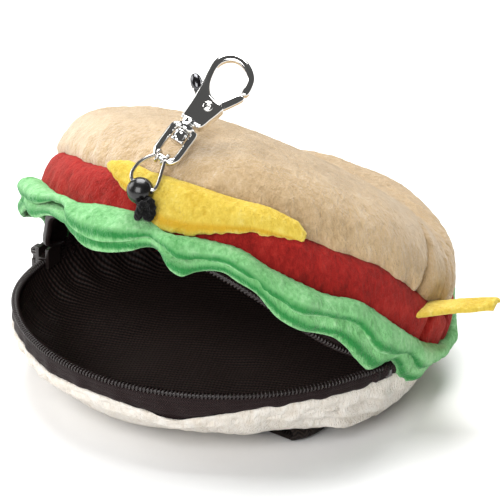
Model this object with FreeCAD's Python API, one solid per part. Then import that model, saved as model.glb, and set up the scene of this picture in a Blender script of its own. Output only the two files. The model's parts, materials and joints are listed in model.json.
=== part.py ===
"""Plush burger zip pouch with a swivel snap hook.

Millimetres. +Z up, the mouth faces -Y, origin under the middle of the pouch on the surface it
stands on. The top half is drawn shut, then swung open about the line through the mouth corners.
"""
import FreeCAD, Part
import math
import os

V = FreeCAD.Vector

# ---- driving dimensions ----
RING_R = 68.0            # middle of the zip tape
RING_Z = 23.0            # height of the shut zip line
OPEN_DEG = 38.0          # how far the top half stands open
FOLD_DEG = 42.0          # slope of the rear pieces' front face, from the vertical

BASE_FLAT_R = 44.0       # flat underside of the bottom bun
BUN_SIDE_R = 67.4        # outside of the bottom bun's wall
BUN_SIDE_Z = 14.0        # where the wall turns upright
BUN_RIM_Z = 18.6         # top edge of the bottom bun's cover
COVER_T = 1.6            # plush cover
LINING_T = 0.8           # lining cloth
FLOOR_Z = 7.2            # lining floor of the pouch

TAPE_T = 0.8             # zip tape
TAPE_LOW_Z = 14.0        # lower edge of the lower tape
COIL_R = 1.1             # radius of one half of the coil
COIL_GAP = 0.7           # coil to the shut zip line
COIL_END_DEG = 3.0       # coil ends this far before the mouth corners

FRILL_LOW = 4.6          # heights above the zip line
FRILL_MID = 8.3
FRILL_TOP = 12.0
TOMATO_TOP = 24.0
BUN_TOP = 54.0
FRILL_IN_R = 62.0
FRILL_UPPER_R = 74.0
FRILL_LOWER_R = 73.0
TOMATO_R = 70.5
TOMATO_IN_R = 58.0
LID_BACK_Y = -0.5        # rear face of the top half's front pieces when shut
REAR_TOP = 38.0          # height of the rear piece of the bun top above the zip line
FLAP_LIFT_DEG = 18.0     # upward slope of the cheese corner at the side

SLIDER_DEG = 188.0       # rest place of the slider, from +X
SLIDER_HALF_DEG = 3.8
SLIDER_H = 4.2           # half height of its plates
SLIDER_PLATE_T = 1.5
SLIDER_CLEAR = 0.3       # plates and web to the coils

STRAP_T = 1.5
STRAP_LOW_Y = -27.0
STRAP_HIGH_Y = -3.0
STRAP_END_X = 53.5
STRAP_FOLD = 6.5         # length of each sewn end
STRAP_GAP_Z = 5.8        # roof of the passage over the strap

BALL_R = 4.35
WIRE_R = 0.6
WIRE_FIT = 0.06
BAR_R = 1.0              # round bar of the swivel eye
BAR_GAP = 0.2            # wire's curls clear of the bar
BAR_Z = 13.0             # along the chain, ball centre to the eye's cross bar
EYE_HALF_W = 3.9
HEAD_Z = 24.2            # underside of the eye's crown
CROWN_T = 2.2
CROWN_HALF_T = 2.4       # front to back
CROWN_LIP = 0.3          # crown beyond the eye's sides
CURL_X = 1.6             # the wire's curls to the middle of the cross bar
WIRE_Y = -1.8            # plane of the wire link
WIRE_Z = 1.0             # height of its cross wire in the ball
WIRE_ARM = [(5.0, WIRE_Z), (5.3, 6.0), (CURL_X, BAR_Z)]
POST_R = 1.7
POST_FIT = 0.05
POST_HEAD_R = 2.4
POST_HEAD_H = 4.2
HOOK_T = 4.6             # thickness of the hook's body
SLOT_T = 2.2             # slot for the trigger
LEVER_T = 1.9
THUMB_HALF_W = 2.1
RIVET_R = 0.9
RIVET_FIT = 0.05
RIVET_X = 2.3
RIVET_Z = 34.9
HOOK_WIRE_R = 1.2

BALL_AT = V(5.9, -77.3, 18.3)        # from the zip line's middle, top half shut
CHAIN_DIR = V(0.060, 0.298, 0.955)   # along the chain, ball to hook
CHAIN_ROLL_DEG = 22.0                # turn of the flat hook about the chain

BIG = 300.0


# ---- helpers ----
def save(name, shape):
    """Writes one node."""
    shape.exportStep("parts/" + name + ".step")


def box(x0, x1, y0, y1, z0, z1):
    return Part.makeBox(x1 - x0, y1 - y0, z1 - z0, V(x0, y0, z0))


def revolve(points):
    """Full turn of a closed (radius, height) outline about Z."""
    corners = [V(r, 0, z) for r, z in points]
    face = Part.Face(Part.makePolygon(corners + corners[:1]))
    return face.revolve(V(0, 0, 0), V(0, 0, 1), 360)


def revolve_edges(edges):
    """Full turn of a closed chain of edges in the XZ plane about Z."""
    wire = Part.Wire(Part.__sortEdges__(edges))
    return Part.Face(wire).revolve(V(0, 0, 0), V(0, 0, 1), 360)


def band(r0, r1, z0, z1):
    return revolve([(r0, z0), (r1, z0), (r1, z1), (r0, z1)])


def line(p, q):
    return Part.makeLine(V(p[0], 0, p[1]), V(q[0], 0, q[1]))


def arc(p, q, r):
    return Part.Arc(V(p[0], 0, p[1]), V(q[0], 0, q[1]), V(r[0], 0, r[1])).toShape()


def spline(points):
    curve = Part.BSplineCurve()
    curve.interpolate([V(r, 0, z) for r, z in points])
    return curve.toShape()


def sector(start_deg, end_deg):
    """Tall wedge of the space round Z between two directions."""
    turn = end_deg - start_deg
    wedge = Part.makeCylinder(BIG, 2 * BIG, V(0, 0, -BIG), V(0, 0, 1), turn)
    wedge.rotate(V(0, 0, 0), V(0, 0, 1), start_deg)
    return wedge


def tube(p, q, radius):
    """Round bar between two points, with rounded ends."""
    bar = Part.makeCylinder(radius, p.distanceToPoint(q), p, q - p)
    return bar.fuse([Part.makeSphere(radius, p), Part.makeSphere(radius, q)])


def plate(points, half_t):
    """Flat plate from an (x, z) outline, centred on y = 0."""
    corners = [V(x, -half_t, z) for x, z in points]
    face = Part.Face(Part.makePolygon(corners + corners[:1]))
    return face.extrude(V(0, 2 * half_t, 0))


FRONT_HALF = box(-BIG, BIG, -BIG, LID_BACK_Y, -BIG, BIG)


def rear_half():
    """Everything behind the sloping face that the open top half leans back to."""
    block = box(-BIG, BIG, 1.0, BIG, -BIG, BIG)
    slope = math.tan(math.radians(FOLD_DEG))
    corners = [V(-BIG, 0.0, 0.0), V(-BIG, slope * BIG, BIG), V(-BIG, -BIG, BIG), V(-BIG, -BIG, 0.0)]
    face = Part.Face(Part.makePolygon(corners + corners[:1]))
    return block.cut(face.extrude(V(2 * BIG, 0, 0)))


REAR_HALF = rear_half()


def place_base(shape):
    """From heights above the zip line to the row frame."""
    moved = shape.copy()
    moved.translate(V(0, 0, RING_Z))
    return moved


def place_lid(shape):
    """The same, swung open about the line through the mouth corners."""
    moved = place_base(shape)
    moved.rotate(V(0, 0, RING_Z), V(1, 0, 0), -OPEN_DEG)
    return moved


def chain_matrix():
    """Frame of the chain: X across the flat hook, Y towards the bun, Z from ball to hook."""
    along = V(CHAIN_DIR)
    along.normalize()
    out = V(0, -along.z, along.y)
    out.normalize()
    across = along.cross(out)
    roll = math.radians(CHAIN_ROLL_DEG)
    out = out * math.cos(roll) + across * math.sin(roll)
    across = along.cross(out)
    return FreeCAD.Matrix(
        across.x, -out.x, along.x, BALL_AT.x,
        across.y, -out.y, along.y, BALL_AT.y,
        across.z, -out.z, along.z, BALL_AT.z,
        0, 0, 0, 1)


CHAIN = chain_matrix()


def place_chain(shape):
    """From the chain's own frame to the row frame."""
    moved = shape.copy()
    moved.transformShape(CHAIN, False)
    return place_lid(moved)


# ---- bottom half ----
def bottom_bun():
    """Cover, padding and lining: three nested bowls."""
    outer_edge = [line((0, 0), (BASE_FLAT_R, 0)),
                  arc((BASE_FLAT_R, 0), (61.5, 4.6), (BUN_SIDE_R, BUN_SIDE_Z)),
                  line((BUN_SIDE_R, BUN_SIDE_Z), (BUN_SIDE_R, BUN_RIM_Z))]
    cover_r = BUN_SIDE_R - COVER_T
    cover_edge = [line((0, COVER_T), (BASE_FLAT_R, COVER_T)),
                  arc((BASE_FLAT_R, COVER_T), (60.4, 5.9), (cover_r, BUN_SIDE_Z)),
                  line((cover_r, BUN_SIDE_Z), (cover_r, BUN_RIM_Z))]
    liner_r = cover_r - 2.0
    pad_top = FLOOR_Z - LINING_T
    pad_edge = [line((0, pad_top), (BASE_FLAT_R, pad_top)),
                arc((BASE_FLAT_R, pad_top), (57.2, 9.0), (liner_r, BUN_SIDE_Z + 1)),
                line((liner_r, BUN_SIDE_Z + 1), (liner_r, BUN_RIM_Z))]
    inner_r = liner_r - LINING_T
    liner_edge = [line((0, FLOOR_Z), (BASE_FLAT_R, FLOOR_Z)),
                  arc((BASE_FLAT_R, FLOOR_Z), (56.7, 9.8), (inner_r, BUN_SIDE_Z + 1)),
                  line((inner_r, BUN_SIDE_Z + 1), (inner_r, BUN_RIM_Z))]
    cover = revolve_edges(outer_edge + cover_edge
                          + [line((0, 0), (0, COVER_T)),
                             line((BUN_SIDE_R, BUN_RIM_Z), (cover_r, BUN_RIM_Z))])
    padding = revolve_edges(cover_edge + pad_edge
                            + [line((0, COVER_T), (0, pad_top)),
                               line((cover_r, BUN_RIM_Z), (liner_r, BUN_RIM_Z))])
    lining = revolve_edges(pad_edge + liner_edge
                           + [line((0, pad_top), (0, FLOOR_Z)),
                              line((liner_r, BUN_RIM_Z), (inner_r, BUN_RIM_Z))])
    return cover, padding, lining


def belt_loop():
    """Flat strap across the underside, turned up and sewn at both ends."""
    strap = box(-STRAP_END_X, STRAP_END_X, STRAP_LOW_Y, STRAP_HIGH_Y, 0, STRAP_T)
    ends = []
    for side in (-1, 1):
        x_in = side * (STRAP_END_X - STRAP_FOLD)
        x_out = side * STRAP_END_X
        ends.append(box(min(x_in, x_out), max(x_in, x_out), STRAP_LOW_Y, STRAP_HIGH_Y,
                        STRAP_T, STRAP_GAP_Z))
    return strap.fuse(ends).removeSplitter()


def belt_passage(top_z):
    """Room for the strap and for a belt between it and the bun."""
    return box(-BIG, BIG, STRAP_LOW_Y, STRAP_HIGH_Y, -1, top_z)


def zip_lower():
    """Tape and coil of the bottom half, along the front."""
    front = sector(180, 360)
    coil_span = sector(180 + COIL_END_DEG, 360 - COIL_END_DEG)
    coil_z = -COIL_GAP - COIL_R
    tape = band(RING_R - TAPE_T / 2, RING_R + TAPE_T / 2,
                TAPE_LOW_Z - RING_Z, coil_z - COIL_R)
    coil = Part.makeTorus(RING_R, COIL_R, V(0, 0, coil_z), V(0, 0, 1))
    return tape.common(front), coil.common(coil_span)


def zip_upper():
    """Tape and coil of the top half."""
    coil_span = sector(180 + COIL_END_DEG, 360 - COIL_END_DEG)
    coil_z = COIL_GAP + COIL_R
    tape = band(RING_R - TAPE_T / 2, RING_R + TAPE_T / 2, coil_z + COIL_R, FRILL_LOW)
    coil = Part.makeTorus(RING_R, COIL_R, V(0, 0, coil_z), V(0, 0, 1))
    return tape.common(FRONT_HALF), coil.common(coil_span)


def zip_stop(start_deg, end_deg):
    """Small metal clamp over the end of the lower coil."""
    half = COIL_R + 0.3
    clamp = band(RING_R - half, RING_R + half, -COIL_GAP - 2 * COIL_R, -COIL_GAP)
    return clamp.common(sector(start_deg, end_deg))


def rear_gusset():
    """Tape sewn shut round the back, joining the two halves."""
    cloth = band(RING_R - TAPE_T / 2, RING_R + TAPE_T / 2, TAPE_LOW_Z - RING_Z, FRILL_LOW)
    return cloth.common(REAR_HALF)


def corner_tab(side):
    """Folded webbing sewn over the end of the zip."""
    tab = band(RING_R + TAPE_T / 2 + 0.05, RING_R + TAPE_T / 2 + 1.25, -8.5, -1.2)
    if side < 0:
        return tab.common(sector(172.5, 178.5))
    return tab.common(sector(1.5, 7.5))


# ---- slider ----
def zip_slider():
    """Plates inside and outside the coils, joined by a web between them, and a bail."""
    span = sector(SLIDER_DEG - SLIDER_HALF_DEG, SLIDER_DEG + SLIDER_HALF_DEG)
    inner_face = RING_R - COIL_R - SLIDER_CLEAR
    outer_face = RING_R + COIL_R + SLIDER_CLEAR
    inner = band(inner_face - SLIDER_PLATE_T, inner_face, -SLIDER_H, SLIDER_H)
    outer = band(outer_face, outer_face + SLIDER_PLATE_T, -SLIDER_H, SLIDER_H)
    web_half = COIL_GAP - SLIDER_CLEAR
    web = band(inner_face, outer_face, -web_half, web_half)
    body = inner.fuse([outer, web]).common(span)
    bail_r = outer_face + SLIDER_PLATE_T + 1.5
    legs = []
    for along in (-2.3, 2.3):
        foot = V(outer_face + 0.8, along, 0.6)
        knee = V(bail_r, along, 0.6)
        legs.append(tube(foot, knee, 0.6))
    legs.append(tube(V(bail_r, -2.3, 0.6), V(bail_r, 2.3, 0.6), 0.6))
    bail = legs[0].fuse(legs[1:])
    bail.rotate(V(0, 0, 0), V(0, 0, 1), SLIDER_DEG)
    return body, bail.cut(body), bail_r


def pull_tab(bail_r):
    """Pull that hangs from the bail."""
    barrel = Part.makeCylinder(1.5, 3.2, V(bail_r, -1.6, 0.6), V(0, 1, 0))
    blade = box(bail_r - 0.6, bail_r + 0.6, -2.3, 2.3, -15.0, -1.9)
    neck = box(bail_r - 0.6, bail_r + 0.6, -1.6, 1.6, -2.2, 0.6)
    hole = Part.makeCylinder(0.68, 8, V(bail_r, -4, 0.6), V(0, 1, 0))
    end_hole = Part.makeCylinder(1.1, 4, V(bail_r - 2, 0, -12.8), V(1, 0, 0))
    tab = barrel.fuse([blade, neck]).cut(hole).cut(end_hole)
    tab.rotate(V(0, 0, 0), V(0, 0, 1), SLIDER_DEG)
    return tab


# ---- top half ----
DOME = [(68.5, TOMATO_TOP), (68.8, 28.5), (66.5, 36.0), (59.0, 43.5), (46.0, 49.5),
        (25.0, 53.0), (0.0, BUN_TOP)]


def dome(inset):
    """Solid bun top, its outside drawn in by inset."""
    points = [(r - inset, h) for r, h in DOME[:2]]
    points += [(r - inset * 0.9, h - inset * 0.45) for r, h in DOME[2:4]]
    points += [(r - inset * 0.4, h - inset * 0.9) for r, h in DOME[4:6]]
    points += [(0.0, BUN_TOP - inset)]
    edges = [spline(points), line(points[-1], (0, TOMATO_TOP)), line((0, TOMATO_TOP), points[0])]
    return revolve_edges(edges)


def top_bun():
    """Cover and stuffing of the bun top, whole."""
    stuffing = dome(COVER_T)
    return dome(0).cut(stuffing), stuffing


def tomato():
    """Rounded band between frill and bun."""
    mid = (FRILL_TOP + TOMATO_TOP) / 2
    outline = [line((TOMATO_IN_R, FRILL_TOP), (TOMATO_R - 1, FRILL_TOP)),
               arc((TOMATO_R - 1, FRILL_TOP), (TOMATO_R, mid), (TOMATO_R - 0.5, TOMATO_TOP)),
               line((TOMATO_R - 0.5, TOMATO_TOP), (TOMATO_IN_R, TOMATO_TOP)),
               line((TOMATO_IN_R, TOMATO_TOP), (TOMATO_IN_R, FRILL_TOP))]
    return revolve_edges(outline)


def cheese_front():
    """Corner of the slice folded down over the tomato."""
    skin = band(TOMATO_R + 0.1, TOMATO_R + 1.7, FRILL_TOP, TOMATO_TOP + 2)
    outline = [V(-28, -90, TOMATO_TOP + 2), V(3, -90, FRILL_TOP + 0.8),
               V(9, -90, FRILL_TOP + 0.8), V(54, -90, TOMATO_TOP - 1),
               V(54, -90, TOMATO_TOP + 2)]
    prism = Part.Face(Part.makePolygon(outline + outline[:1])).extrude(V(0, 75, 0))
    return skin.common(prism).common(sector(258, 320))


def cheese_right():
    """Corner of the slice that stands out at the right mouth corner."""
    root_x = TOMATO_R - 0.5
    outline = [V(root_x, -7, TOMATO_TOP), V(80, -3, TOMATO_TOP), V(95, 6, TOMATO_TOP),
               V(93, 8, TOMATO_TOP), V(root_x, 8, TOMATO_TOP)]
    flap = Part.Face(Part.makePolygon(outline + outline[:1])).extrude(V(0, 0, 2.4))
    flap.rotate(V(root_x, 0, TOMATO_TOP), V(0, 1, 0), -FLAP_LIFT_DEG)
    return flap


# ---- chain and hook, in the chain's own frame ----
def ball_and_knot():
    """Ball with a cross hole for the wire, and the knotted cord beside it."""
    ball = Part.makeSphere(BALL_R)
    hole = Part.makeCylinder(WIRE_R + WIRE_FIT, 12, V(-6, WIRE_Y, WIRE_Z), V(1, 0, 0))
    knot = Part.makeSphere(2.5, V(5.2, -0.6, -3.0)).fuse(
        [Part.makeSphere(1.9, V(4.7, 0.4, -6.6)),
         tube(V(4.7, 0.4, -6.6), V(1.0, 0, -3.0), 1.1)])
    return ball.cut(hole), knot.cut(ball)


def round_bar(edges, start, direction, radius):
    """Round bar along a chain of tangent edges."""
    ring = Part.Wire(Part.makeCircle(radius, start, direction))
    return Part.Wire(edges).makePipeShell([ring], True, False)


def wire_link():
    """Wire through the ball, its two ends curled round the eye's cross bar."""
    corners = [V(side * x, WIRE_Y, z) for side, arm in ((-1, WIRE_ARM[::-1]), (1, WIRE_ARM)) for x, z in arm]
    pieces = [tube(p, q, WIRE_R) for p, q in zip(corners, corners[1:])]
    reach = BAR_R + BAR_GAP + WIRE_R
    for side in (-1, 1):
        pieces.append(Part.makeTorus(reach, WIRE_R, V(side * CURL_X, 0, BAR_Z), V(1, 0, 0)))
    return pieces[0].fuse(pieces[1:])


def swivel_eye():
    """D-shaped eye whose crown carries the swivel post."""
    bend_r = 2.2
    bend_x = EYE_HALF_W - bend_r
    bend_z = BAR_Z + bend_r
    top_z = HEAD_Z + 1.0
    reach = bend_r * math.sin(math.radians(45))
    mid_z = bend_z - reach
    mid_x = bend_x + reach
    path = [line((-EYE_HALF_W, top_z), (-EYE_HALF_W, bend_z)),
            arc((-EYE_HALF_W, bend_z), (-mid_x, mid_z), (-bend_x, BAR_Z)),
            line((-bend_x, BAR_Z), (bend_x, BAR_Z)),
            arc((bend_x, BAR_Z), (mid_x, mid_z), (EYE_HALF_W, bend_z)),
            line((EYE_HALF_W, bend_z), (EYE_HALF_W, top_z))]
    frame = round_bar(path, V(-EYE_HALF_W, 0, top_z), V(0, 0, -1), BAR_R)
    half_w = EYE_HALF_W + BAR_R + CROWN_LIP
    crown = box(-half_w, half_w, -CROWN_HALF_T, CROWN_HALF_T, HEAD_Z, HEAD_Z + CROWN_T)
    corner_r = 1.2
    upright = [edge for edge in crown.Edges if abs(edge.tangentAt(edge.FirstParameter).z) > 0.9]
    crown = crown.makeFillet(corner_r, upright)
    bore = Part.makeCylinder(POST_R + POST_FIT, 2 * CROWN_T, V(0, 0, HEAD_Z - 0.5 * CROWN_T))
    return frame.fuse(crown).cut(bore)


def swivel_post():
    """Headed post that turns in the crown; the hook is fixed on it."""
    head = Part.makeCylinder(POST_HEAD_R, POST_HEAD_H, V(0, 0, HEAD_Z - 0.2 - POST_HEAD_H))
    shank = Part.makeCylinder(POST_R, CROWN_T + 0.6, V(0, 0, HEAD_Z - 0.2))
    return head.fuse(shank)


COLLAR_Z = HEAD_Z + CROWN_T + 0.4


def trigger_slot():
    """Room for the trigger to swing inside the hook's body."""
    outline = [(-10.2, 32.1), (-1.2, 30.9), (5.3, 31.9), (8.3, 35.9), (10.6, 38.0), (10.6, 46.0),
               (4.6, 46.0), (0.3, 39.5), (-10.2, 39.7)]
    return plate(outline, SLOT_T / 2)


def hook_body():
    """Tapered body with a wide loop, open on the right where the trigger's gate shuts it."""
    collar = Part.makeCone(2.4, 3.2, 1.8, V(0, 0, COLLAR_Z))
    body = plate([(-3.2, 28.2), (3.9, 28.2), (6.3, 34.4), (6.6, 36.8), (4.6, 38.2), (2.2, 38.0),
                  (0.6, 38.9), (-0.6, 41.2), (-3.6, 41.2), (-3.4, 34.0)], HOOK_T / 2)
    bend = [(-2.2, 37.5), (-3.3, 41.0), (-4.4, 45.0), (-4.7, 48.3), (-3.6, 51.5), (-1.0, 53.7),
            (2.0, 54.3), (5.2, 53.4), (7.7, 51.0), (8.9, 47.8), (9.0, 45.4)]
    (x0, z0), (x1, z1) = bend[:2]
    loop = round_bar([spline(bend)], V(x0, 0, z0), V(x1 - x0, 0, z1 - z0), HOOK_WIRE_R)
    tip = Part.makeSphere(HOOK_WIRE_R, V(bend[-1][0], 0, bend[-1][1]))
    hook = collar.fuse([body, loop, tip]).cut(trigger_slot())
    return hook.cut(trigger_rivet())


def trigger_rivet():
    """Pin across the slot with a flat head at each side."""
    pin = Part.makeCylinder(RIVET_R, HOOK_T + 1.0, V(RIVET_X, -HOOK_T / 2 - 0.5, RIVET_Z), V(0, 1, 0))
    front = Part.makeCylinder(1.7, 0.5, V(RIVET_X, -HOOK_T / 2 - 0.5, RIVET_Z), V(0, 1, 0))
    back = Part.makeCylinder(1.7, 0.5, V(RIVET_X, HOOK_T / 2, RIVET_Z), V(0, 1, 0))
    return pin.fuse([front, back])


def trigger_lever():
    """Gate on one side of the rivet and thumb tab on the other."""
    hub = Part.makeCylinder(2.0, LEVER_T, V(RIVET_X, -LEVER_T / 2, RIVET_Z), V(0, 1, 0))
    gate = plate([(1.6, 36.3), (4.0, 34.2), (9.3, 42.0), (9.4, 43.3), (7.3, 43.3)], LEVER_T / 2)
    tail = plate([(2.0, 33.1), (2.4, 36.8), (-5.6, 39.4), (-6.0, 37.5)], LEVER_T / 2)
    pad = plate([(-5.2, 37.4), (-5.0, 40.0), (-7.3, 43.0), (-8.7, 42.3), (-7.5, 38.2)], THUMB_HALF_W)
    hole = Part.makeCylinder(RIVET_R + RIVET_FIT, 8, V(RIVET_X, -4, RIVET_Z), V(0, 1, 0))
    return hub.fuse([gate, tail, pad]).removeSplitter().cut(hole)


def trigger_spring():
    """Spring seat at the bottom of the slot, drawn at its pressed length."""
    return Part.makeCylinder(0.8, 0.9, V(-1.0, 0, 31.2))


# ---- build ----
def main():
    os.makedirs("parts", exist_ok=True)

    cover, padding, lining = bottom_bun()
    save("bottom_bun_cover", cover.cut(belt_passage(STRAP_GAP_Z)))
    save("bottom_bun_padding", padding.cut(belt_passage(FLOOR_Z)))
    save("lining_lower", lining)
    save("belt_loop", belt_loop())

    tape, coil = zip_lower()
    save("zip_tape_lower", place_base(tape))
    save("zip_coil_lower", place_base(coil))
    save("zip_stop_start", place_base(zip_stop(180.6, 180 + COIL_END_DEG)))
    save("zip_stop_end", place_base(zip_stop(360 - COIL_END_DEG, 359.4)))
    save("rear_gusset", place_base(rear_gusset()))
    save("corner_tab_left", place_base(corner_tab(-1)))
    save("corner_tab_right", place_base(corner_tab(1)))

    slider, bail, bail_r = zip_slider()
    save("zip_slider", place_base(slider))
    save("slider_bail", place_base(bail))
    save("pull_tab", place_base(pull_tab(bail_r)))

    tape, coil = zip_upper()
    save("zip_tape_upper", place_lid(tape))
    save("zip_coil_upper", place_lid(coil))

    frill_low = band(FRILL_IN_R, FRILL_LOWER_R, FRILL_LOW, FRILL_MID)
    frill_high = band(FRILL_IN_R, FRILL_UPPER_R, FRILL_MID, FRILL_TOP)
    slice_band = tomato()
    bun_cover, bun_stuffing = top_bun()
    core = Part.makeCylinder(TOMATO_IN_R, TOMATO_TOP - FRILL_TOP, V(0, 0, FRILL_TOP))
    roof = Part.makeCylinder(FRILL_IN_R - 0.1, LINING_T, V(0, 0, FRILL_TOP - LINING_T))

    save("lining_upper", place_lid(roof.common(FRONT_HALF)))
    save("lettuce_lower", place_lid(frill_low.common(FRONT_HALF)))
    save("lettuce_upper", place_lid(frill_high.common(FRONT_HALF)))
    save("tomato_front", place_lid(slice_band.common(FRONT_HALF)))
    save("core_padding", place_lid(core.common(FRONT_HALF)))
    save("top_bun_cover", place_lid(bun_cover.common(FRONT_HALF)))
    save("top_bun_padding", place_lid(bun_stuffing.common(FRONT_HALF)))
    save("cheese_front", place_lid(cheese_front()))
    save("cheese_right", place_lid(cheese_right()))

    save("lettuce_rear", place_base(frill_low.fuse(frill_high).common(REAR_HALF)))
    save("tomato_rear", place_base(slice_band.common(REAR_HALF)))
    rear_bun = dome(0).common(REAR_HALF).common(box(-BIG, BIG, -BIG, BIG, 0, REAR_TOP))
    save("top_bun_rear", place_base(rear_bun))

    ball, knot = ball_and_knot()
    save("ball", place_chain(ball))
    save("cord_knot", place_chain(knot))
    save("wire_link", place_chain(wire_link()))
    save("swivel_eye", place_chain(swivel_eye()))
    save("swivel_post", place_chain(swivel_post()))
    save("hook_body", place_chain(hook_body()))
    save("trigger_rivet", place_chain(trigger_rivet()))
    save("trigger_spring", place_chain(trigger_spring()))
    save("trigger_lever", place_chain(trigger_lever()))


main()
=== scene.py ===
"""Looks of a plush burger zip pouch with a swivel snap hook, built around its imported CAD."""
import json
import math
import bpy
import numpy as np
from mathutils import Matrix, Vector


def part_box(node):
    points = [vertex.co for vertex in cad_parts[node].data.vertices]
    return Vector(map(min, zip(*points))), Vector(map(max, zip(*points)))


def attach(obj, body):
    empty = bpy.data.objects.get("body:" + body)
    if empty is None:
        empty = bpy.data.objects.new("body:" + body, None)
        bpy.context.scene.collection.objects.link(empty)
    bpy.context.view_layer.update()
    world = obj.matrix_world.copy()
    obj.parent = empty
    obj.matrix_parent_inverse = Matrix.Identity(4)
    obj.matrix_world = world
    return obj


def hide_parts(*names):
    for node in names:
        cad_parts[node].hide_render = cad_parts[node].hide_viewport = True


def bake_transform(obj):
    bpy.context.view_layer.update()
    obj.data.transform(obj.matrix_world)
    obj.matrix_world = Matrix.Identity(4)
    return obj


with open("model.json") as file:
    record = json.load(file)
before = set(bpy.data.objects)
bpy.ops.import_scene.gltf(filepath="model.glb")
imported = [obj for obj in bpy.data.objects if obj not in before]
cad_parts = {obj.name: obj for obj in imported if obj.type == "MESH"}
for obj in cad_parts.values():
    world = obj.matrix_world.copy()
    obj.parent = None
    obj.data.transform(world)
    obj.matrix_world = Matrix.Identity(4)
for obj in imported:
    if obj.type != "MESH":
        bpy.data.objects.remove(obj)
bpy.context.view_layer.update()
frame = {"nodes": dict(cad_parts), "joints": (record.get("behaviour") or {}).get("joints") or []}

MM = 0.001

# ---- frame of the zip line: millimetres, heights above the shut zip ----
HINGE = next(j for j in frame["joints"] if j["name"] == "lid_hinge")
RING_Z = HINGE["pos_m"][2] / MM
OPEN = math.radians(-HINGE["range_deg"][0])
tape_low, tape_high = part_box("zip_tape_lower")
TAPE_T = 0.8
RING_R = (tape_high.x - tape_low.x) / 2 / MM - TAPE_T / 2
# distances behind the hinge: cloth follows the base beyond the first and the lid before the second
FOLD_FAR, FOLD_NEAR = 62.0, 20.0      # skins of the top half
SAG_FAR, SAG_NEAR = 30.0, -70.0       # slack upper zip half
TAU = 2 * math.pi
ALONG_Q = np.array([0.0, math.cos(OPEN), -math.sin(OPEN)])


def turn(p, angle):
    """Swings points open about the hinge line."""
    c, s = np.cos(angle), np.sin(angle)
    return np.stack([p[..., 0], p[..., 1] * c + p[..., 2] * s, -p[..., 1] * s + p[..., 2] * c], -1)


def fold_weight(p, far, near):
    t = np.clip((far - p @ ALONG_Q) / (far - near), 0, 1)
    return t * t * (3 - 2 * t)


def open_out(p, far=FOLD_FAR, near=FOLD_NEAR):
    """Shut shape to the shape at rest, so that shutting the lid bends it back exactly."""
    low, high = np.zeros(p.shape[:-1]), np.ones(p.shape[:-1])
    for _ in range(30):
        mid = (low + high) / 2
        over = mid > fold_weight(turn(p, mid * OPEN), far, near)
        high = np.where(over, mid, high)
        low = np.where(over, low, mid)
    return turn(p, (low + high) / 2 * OPEN)


def sag_out(p):
    """Like open_out for the slack upper zip half, which hangs from the lid."""
    return open_out(p, SAG_FAR, SAG_NEAR)


def lid_out(p):
    return turn(p, OPEN)


def same(p):
    return p


# ---- noise ----
def lattice(i, j, k, seed):
    n = (i * 374761393 + j * 668265263 + k * 2147483647 + seed * 1274126177) & 0xFFFFFFFF
    n = ((n ^ (n >> 13)) * 1103515245) & 0xFFFFFFFF
    n = ((n ^ (n >> 16)) * 2246822519) & 0xFFFFFFFF
    return ((n ^ (n >> 15)) & 0xFFFFFF) / float(0x7FFFFF) - 1.0


def noise(p, size, seed=0):
    """Smooth noise between -1 and 1 with lumps of the given size."""
    q = np.asarray(p, float) / size + 1000.0
    i = np.floor(q).astype(np.int64)
    f = q - i
    u = f * f * f * (f * (f * 6 - 15) + 10)
    total = 0
    for dx in (0, 1):
        for dy in (0, 1):
            for dz in (0, 1):
                w = ((u[..., 0] if dx else 1 - u[..., 0]) * (u[..., 1] if dy else 1 - u[..., 1])
                     * (u[..., 2] if dz else 1 - u[..., 2]))
                total = total + w * lattice(i[..., 0] + dx, i[..., 1] + dy, i[..., 2] + dz, seed)
    return total


def smooth(x, a, b):
    t = np.clip((x - a) / (b - a), 0, 1)
    return t * t * (3 - 2 * t)


def unit(v):
    return v / np.linalg.norm(v, axis=-1, keepdims=True)


def run_length(path):
    """Distance along a chain of points, from its first."""
    return np.concatenate([[0], np.cumsum(np.linalg.norm(np.diff(path, axis=0), axis=1))])


def polar(r, a, h):
    return np.stack([r * np.cos(a), r * np.sin(a), h], -1)


def rings(path, size, side, up, count):
    """Rings of points round a path."""
    c = TAU * np.arange(count) / count
    return path[:, None] + size * (side[:, None] * np.cos(c)[None, :, None]
                                   + up[:, None] * np.sin(c)[None, :, None])


# ---- meshes ----
def add(name, data):
    obj = bpy.data.objects.new(name, data)
    bpy.context.scene.collection.objects.link(obj)
    return obj


def evaluated_mesh(obj):
    """Mesh of an object with its modifiers or bevel applied."""
    bpy.context.view_layer.update()
    graph = bpy.context.evaluated_depsgraph_get()
    return bpy.data.meshes.new_from_object(obj.evaluated_get(graph))


def grid_normals(p, wrap_u, wrap_v=False):
    du = np.roll(p, -1, 0) - np.roll(p, 1, 0)
    dv = np.roll(p, -1, 1) - np.roll(p, 1, 1)
    if not wrap_u:
        du[0], du[-1] = p[1] - p[0], p[-1] - p[-2]
    if not wrap_v:
        dv[:, 0], dv[:, -1] = p[:, 1] - p[:, 0], p[:, -1] - p[:, -2]
    n = np.cross(du, dv)
    return n / np.maximum(np.linalg.norm(n, axis=-1, keepdims=True), 1e-9)


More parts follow.
